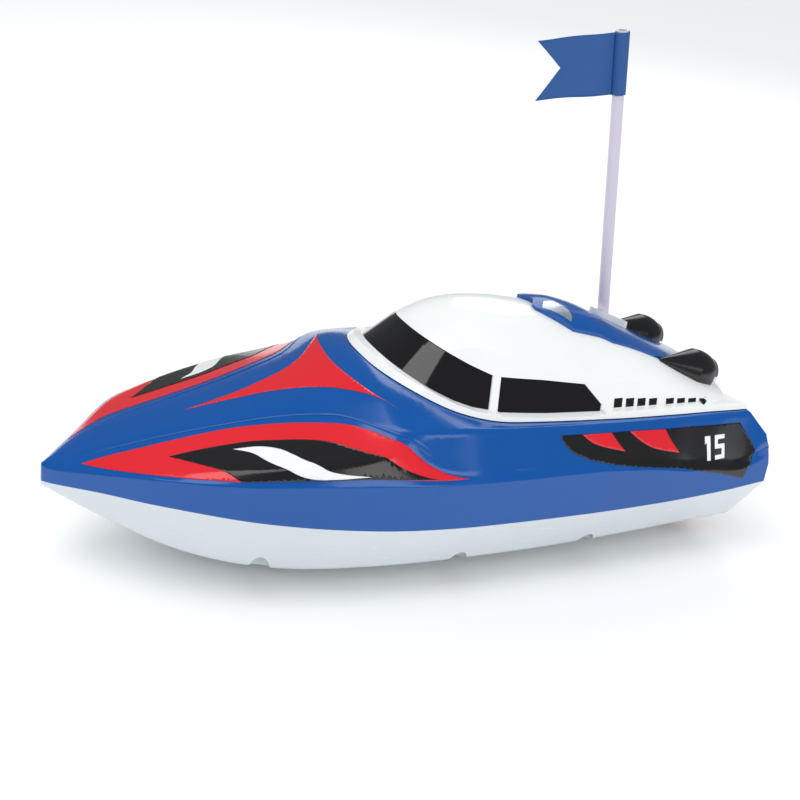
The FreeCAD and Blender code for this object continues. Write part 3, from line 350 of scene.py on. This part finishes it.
star_side = [(97.5, 0), (88, 0.9), (78, 2.2), (68, 4.2), (58, 7.4), (50, 11.2), (43, 16.6),
             (36, 25), (30, 33), (25, 41)]
star_rear = [(25, 41), (31, 30), (34.6, 16), (36, 0), (34.6, -16), (31, -30), (25, -41)]
star = outline(star_side, star_rear, across(reversed(star_side)))
rubbed_down("foredeck_star", star, deck_skin, first_film, film_red, "boat")

# ------------------------------------------------------------ foredeck beads
# A slim moulded bead runs along each edge of the raised middle, from the nose to the side
# of the cabin.  It is part of the deck moulding and catches a bright line of light.
bead_half = 0.75
bead_rise = 0.42
bead_sunk = 0.06          # how deep its foot goes into the deck
bead_taper = 0.35         # the smaller, the blunter the ends
bead_foot = 0.3           # width left at the ends, as a share
bead_end = (16, 57.0)
bead_line = fair_curve([(140.5, 7.5), (132.7, 9.6), (123.6, 11.8), (112.6, 13.2), (102.1, 14.7),
                        (87.9, 17.4), (73.6, 20.4), (59.7, 24.8), (48.9, 29.4), (43.6, 33.4),
                        (39, 38.6), (34, 45), (28.2, 51.2), (21.4, 55.0), bead_end], 8)
bead_line.append(bead_end)


def bead(name, line, shell, finish):
    """Half-round strip along a plan line, tapered to nothing at both ends."""
    rows = 7
    last = len(line) - 1
    corners = []
    for i, (x, y) in enumerate(line):
        before = line[max(i - 1, 0)]
        after = line[min(i + 1, last)]
        along = Vector((after[0] - before[0], after[1] - before[1])).normalized()
        swell = math.sin(math.pi * i / last) ** bead_taper if 0 < i < last else 0.0
        for j in range(rows):
            turn = math.pi * j / (rows - 1)
            shift = -math.cos(turn) * bead_half * (bead_foot + (1 - bead_foot) * swell)
            above = Vector(((x - along.y * shift) * mm, (y + along.x * shift) * mm, drop_height))
            spot, normal, _, _ = shell.ray_cast(above, Vector((0, 0, -1)))
            if normal.z < 0:
                normal = -normal
            rise = math.sin(turn) * bead_rise * swell - bead_sunk
            corners.append(spot + normal * rise * mm)
    faces = [(i * rows + j, (i + 1) * rows + j, (i + 1) * rows + j + 1, i * rows + j + 1)
             for i in range(last) for j in range(rows - 1)]
    faces += [(i * rows, i * rows + rows - 1, (i + 1) * rows + rows - 1, (i + 1) * rows)
              for i in range(last)]
    faces += [tuple(range(rows)), tuple(range(len(corners) - 1, len(corners) - rows - 1, -1))]
    piece = new_piece(name, corners, faces)
    shape = bmesh.new()
    shape.from_mesh(piece.data)
    bmesh.ops.recalc_face_normals(shape, faces=shape.faces)
    shape.to_mesh(piece.data)
    shape.free()
    piece.data.materials.append(finish)
    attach(piece, "boat")


for side_name, turn in (("port", list), ("starboard", across)):
    bead("deck_bead_" + side_name, turn(bead_line), deck_skin, deck_plastic)

# ------------------------------------------------------------ side stickers
# A black film flash with two red blades and a plain race number runs aft along each
# side, rubbed down over the crease.  The outlines are drawn in the side view.
side_flash = outline([(-41.1, 64.3), (-44.3, 59.6), (-49.5, 56.0), (-61.6, 52.1), (-78.4, 49.1),
                      (-100.9, 45.9), (-122.6, 41.4), (-138.8, 36.9)],
                     [(-138.8, 36.9), (-144.6, 49.4)], [(-144.6, 49.4), (-135.3, 61.0)],
                     [(-135.3, 61.0), (-115, 61.7), (-95.2, 62.3), (-75.3, 63.1),
                      (-56.1, 63.7), (-41.1, 64.3)])
blades = [outline([(-51.6, 63.7), (-56.9, 60.1), (-64.2, 57.6), (-73.2, 55.4)],
                  [(-73.2, 55.4), (-69.4, 59.3), (-66.0, 63.3)], [(-66.0, 63.3), (-51.6, 63.7)]),
          outline([(-75.3, 63.0), (-81.4, 58.5), (-89.3, 54.8), (-102.2, 51.8)],
                  [(-102.2, 51.8), (-97.7, 56.9), (-93.9, 62.2)], [(-93.9, 62.2), (-75.3, 63.0)])]
digit_foot = 46.8
digit_high = 10.4
digit_lean = 0.09         # how far the head of a digit leans back, as a share of its height
digit_pitch = 6.4
number_starts = {"port": -115.6, "starboard": -128.6}
one = [(0.9, 1), (3.9, 1), (3.9, 0), (1.9, 0), (1.9, 0.74), (0.9, 0.66)]
five = [(0, 1), (5.6, 1), (5.6, 0.82), (1.7, 0.82), (1.7, 0.62), (5.6, 0.62), (5.6, 0), (0, 0),
        (0, 0.18), (3.9, 0.18), (3.9, 0.44), (0, 0.44)]


def digit(corners, start, toward):
    """Outline of a digit in the side view; toward is the way the text reads, in x."""
    return [(start + toward * (u - digit_lean * digit_high * v), digit_foot + digit_high * v)
            for u, v in corners]


for side_name, side in (("port", 1), ("starboard", -1)):
    toward = -side
    for place, corners in enumerate((one, five)):
        start = number_starts[side_name] + toward * place * digit_pitch
        rubbed_down(f"race_number_{side_name}_{place}", digit(corners, start, toward),
                    deck_skin, second_film, film_white, "boat", side)
    rubbed_down("side_flash_" + side_name, side_flash,
                deck_skin, first_film, film_black, "boat", side)
    for place, blade in enumerate(blades):
        rubbed_down(f"side_blade_{side_name}_{place}", blade,
                    deck_skin, second_film, film_red, "boat", side)

# ------------------------------------------------------------ canopy
# White ABS cabin in one moulding, with the socket of the mast glued into its roof.  It
# lifts off the hatch and is the brightest part of the boat.
canopy_white = (0.84, 0.855, 0.84)
dress(plastic("canopy_plastic", canopy_white, gloss=0.12, grain=0.2, coat=0.15),
      "canopy_shell", "mast_socket")

# ------------------------------------------------------------ canopy stickers
# A row of plain slanted bars in black film behind each side window.  They are rubbed
# down one by one on the foot of the roof, and get lower towards the stern.
canopy_skin = shell_of("canopy_shell")
bar_starts = (-72.5, -78.5, -84.5, -90.5, -99.5, -105.5, -111.5, -117.5)
bar_long = 4.2
bar_low, bar_low_fall = 69.2, 0.02
bar_high, bar_high_fall = 72.4, 0.064
bar_lean = 0.35
bar_film = 0.07           # top of a bar, above the canopy
for side_name, side in (("port", 1), ("starboard", -1)):
    for place, start in enumerate(bar_starts):
        run = bar_starts[0] - start
        low = bar_low - bar_low_fall * run
        high = bar_high - bar_high_fall * run
        lean = bar_lean * (high - low)
        bar = [(start, low), (start - bar_long, low), (start - bar_long - lean, high),
               (start - lean, high)]
        rubbed_down(f"canopy_bar_{side_name}_{place}", bar,
                    canopy_skin, bar_film, film_black, "canopy", side)

# ------------------------------------------------------------ windows and cowls
# Smoked black acrylic panes sit in recesses of the canopy.  The cowls are black ABS with
# bright plated ends, and the hood has two panes of silver foil.
dress(plastic("smoked_pane", (0.006, 0.006, 0.007), gloss=0.04, grain=0.03, coat=0.5),
      "windscreen", "side_window_port", "side_window_starboard")
dress(plastic("cowl_plastic", (0.012, 0.012, 0.013), gloss=0.16, grain=0.25, coat=0.2),
      "engine_cowl_port", "engine_cowl_starboard")
dress(plastic("plated", (0.78, 0.79, 0.81), gloss=0.06, grain=0.05, metallic=1.0),
      "cowl_cap_port", "cowl_cap_starboard")
dress(plastic("foil", (0.66, 0.72, 0.80), gloss=0.22, grain=0.4, coat=0.3, metallic=0.8),
      "scoop_lens_port", "scoop_lens_starboard")

# ------------------------------------------------------------ mast and flag
# Thin extruded tube of milky plastic, open at the top, pushed into the roof.  The flag is
# blue nylon, cut to a swallow tail, with its sleeve slipped over the mast.
dress(plastic("mast_plastic", (0.60, 0.56, 0.66), gloss=0.3, grain=0.3), "flag_mast")
mast_foot = Vector((-98.0, -10.0, 84.0)) * mm
mast_turn = Matrix.Rotation(math.radians(8.5), 4, "Y")
flag_turn = Matrix.Rotation(math.radians(-7.0), 4, "Z")
flag_middle = 114.9       # along the mast, from its foot
flag_half = 12.5
flag_long = 37.0
flag_notch = 11.0
flag_narrowing = 0.018    # how much the flag's half height loses towards its tail
sleeve_radius = 3.0
sleeve_start, sleeve_turn = 1.06, 1.88      # in half turns
wave_pitch = 0.21
wave_slant = 0.5
wave_depth = 0.9
wave_grows = 12.0         # the waves reach their depth this far from the mast
cloth_thick = 0.35


def on_mast(x, y, z):
    """Place in the scene of a place along the flag, across it and up the mast, in mm."""
    return mast_foot + (mast_turn @ (flag_turn @ Vector((x, y, z)))) * mm


def flag_cloth():
    """Swallow-tailed cloth with a sleeve round the mast and two soft waves along it."""
    columns = 44
    rows = 20
    sleeve = 8
    corners = []
    for j in range(rows + 1):
        v = 2 * j / rows - 1
        end = flag_long - flag_notch * (1 - abs(v))
        for i in range(sleeve):
            turn = math.pi * (sleeve_start + sleeve_turn * i / sleeve) + math.pi
            corners.append((sleeve_radius * math.cos(turn), sleeve_radius * math.sin(turn),
                            flag_middle + v * flag_half))
        for i in range(columns + 1):
            x = sleeve_radius + (end - sleeve_radius) * i / columns
            grown = min(1.0, (x - sleeve_radius) / wave_grows)
            ripple = math.sin(x * wave_pitch + v * wave_slant) * wave_depth * grown
            corners.append((x, ripple, flag_middle + v * (flag_half - flag_narrowing * x)))
    wide = sleeve + columns + 1
    faces = [(j * wide + i, j * wide + i + 1, (j + 1) * wide + i + 1, (j + 1) * wide + i)
             for j in range(rows) for i in range(wide - 1)]
    faces += [(j * wide, (j + 1) * wide, (j + 1) * wide + sleeve, j * wide + sleeve)
              for j in range(rows)]
    piece = new_piece("flag_cloth", [on_mast(*c) for c in corners], faces)
    thicken(piece, cloth_thick * mm, 0.0)
    return piece


flag = flag_cloth()
flag.data.materials.append(plastic("flag_nylon", (0.012, 0.085, 0.29), gloss=0.55, grain=0.6))
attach(flag, "mast")
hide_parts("flag")

# ------------------------------------------------------------ metal parts
# Zinc-plated screws, ground steel shafts and drawn motor cans.  The stern tubes, the
# propeller nuts and the contacts under the hull are turned from brass.
dress(plastic("steel", (0.52, 0.53, 0.55), gloss=0.25, grain=0.4, metallic=1.0),
      "hull_screws", "latch_screw", "switch_screws", "clamp_screws", "strap_screws",
      "board_screws", "motor_shaft_port", "motor_shaft_starboard", "prop_shaft_port",
      "prop_shaft_starboard", "motor_port", "motor_starboard")
dress(plastic("brass", (0.72, 0.50, 0.18), gloss=0.22, grain=0.4, metallic=1.0),
      "stern_tube_port", "stern_tube_starboard", "prop_nut_port", "prop_nut_starboard",
      "water_contacts")

# ------------------------------------------------------------ drive, battery and electronics
# Red propellers on black struts, a green shrink-sleeved battery in a grey tray, and the
# receiver on its posts in the bow.
dress(plastic("propeller_plastic", (0.62, 0.02, 0.025), gloss=0.2, grain=0.25),
      "propeller_port", "propeller_starboard")
dress(plastic("black_plastic", (0.02, 0.02, 0.022), gloss=0.45, grain=0.8),
      "shaft_strut_port", "shaft_strut_starboard", "motor_clamp_port", "motor_clamp_starboard",
      "power_switch", "coupling_port", "coupling_starboard")
dress(plastic("tray_plastic", (0.09, 0.095, 0.11), gloss=0.4, grain=0.8),
      "battery_tray", "battery_strap")
dress(plastic("sleeve", (0.02, 0.17, 0.06), gloss=0.22, grain=0.3, coat=0.3), "battery_pack")
dress(plastic("board", (0.01, 0.09, 0.03), gloss=0.35, grain=0.5), "receiver_board")
dress(plastic("slider_plastic", (0.7, 0.7, 0.68), gloss=0.4, grain=0.6), "switch_slider")

# ------------------------------------------------------------ studio
# Pale seamless floor under one large soft key light over the bow quarter, a fill on the
# port side and a back light.  The camera looks down on the port bow.
azimuth = math.radians(152.18)
elevation = math.radians(26.48)
roll = math.radians(7.9)
camera_away = 0.607
camera_aim = Vector((0.003, 0, 0.016))
back = Vector((math.sin(azimuth) * math.cos(elevation), -math.cos(azimuth) * math.cos(elevation),
               math.sin(elevation)))
right = (-back).cross(Vector((0, 0, 1))).normalized()
up = right.cross(-back)
right, up = (right * math.cos(roll) + up * math.sin(roll),
             up * math.cos(roll) - right * math.sin(roll))
turned = Matrix((right, up, back)).transposed().to_4x4()
bpy.ops.object.camera_add(location=back * camera_away + camera_aim)
camera = bpy.context.object
camera.matrix_world = Matrix.Translation(camera.location) @ turned
camera.data.lens = 63.0
camera.data.sensor_width = 36.0
camera.data.shift_x = 0.0145
camera.data.shift_y = 0.110
camera.data.clip_start = 0.01
bpy.context.scene.camera = camera

floor_wide = 30.0
bpy.ops.mesh.primitive_plane_add(size=1.0, location=(0, 0, 0))
floor = bpy.context.object
floor.name = "floor"
floor.scale = (floor_wide, floor_wide, 1.0)
bpy.ops.object.transform_apply(scale=True)
paper, paper_tree, paper_shader = material("floor_paper")
paper_noise = add(paper_tree, "TexNoise", Scale=6.0, Detail=2.0)
paper_ramp = add(paper_tree, "MapRange")
paper_ramp.inputs["To Min"].default_value = 0.93
paper_ramp.inputs["To Max"].default_value = 0.96
paper_tree.links.new(paper_noise.outputs["Fac"], paper_ramp.inputs["Value"])
paper_tree.links.new(paper_ramp.outputs["Result"], paper_shader.inputs["Base Color"])
paper_shader.inputs["Roughness"].default_value = 0.9
floor.data.materials.append(paper)


def soft_light(name, place, size, power):
    """Square soft box that looks at the middle of the boat."""
    bpy.ops.object.light_add(type="AREA", location=place)
    lamp = bpy.context.object
    lamp.name = name
    lamp.data.size = size
    lamp.data.energy = power
    aim = Vector((0, 0, 0.05)) - Vector(place)
    lamp.rotation_euler = aim.to_track_quat("-Z", "Y").to_euler()


soft_light("key", (0.45, 0.10, 1.15), 0.7, 3.4)
soft_light("fill", (-0.3, 1.2, 0.55), 0.5, 1.6)
soft_light("rim", (-0.7, -0.9, 0.8), 0.6, 2.0)
sky_bright = 0.97
sky_reflected = 0.16      # the room is dim in reflections, between the soft boxes
world = bpy.data.worlds.new("studio")
bpy.context.scene.world = world
world.use_nodes = True
sky_tree = world.node_tree
sky = sky_tree.nodes["Background"]
sky.inputs["Color"].default_value = (0.96, 0.98, 1.0, 1.0)
sky_ray = add(sky_tree, "LightPath")
sky_dim = add(sky_tree, "MapRange")
sky_dim.inputs["To Min"].default_value = sky_bright
sky_dim.inputs["To Max"].default_value = sky_reflected
sky_tree.links.new(sky_ray.outputs["Is Glossy Ray"], sky_dim.inputs["Value"])
sky_tree.links.new(sky_dim.outputs["Result"], sky.inputs["Strength"])
bpy.context.scene.view_settings.view_transform = "Standard"
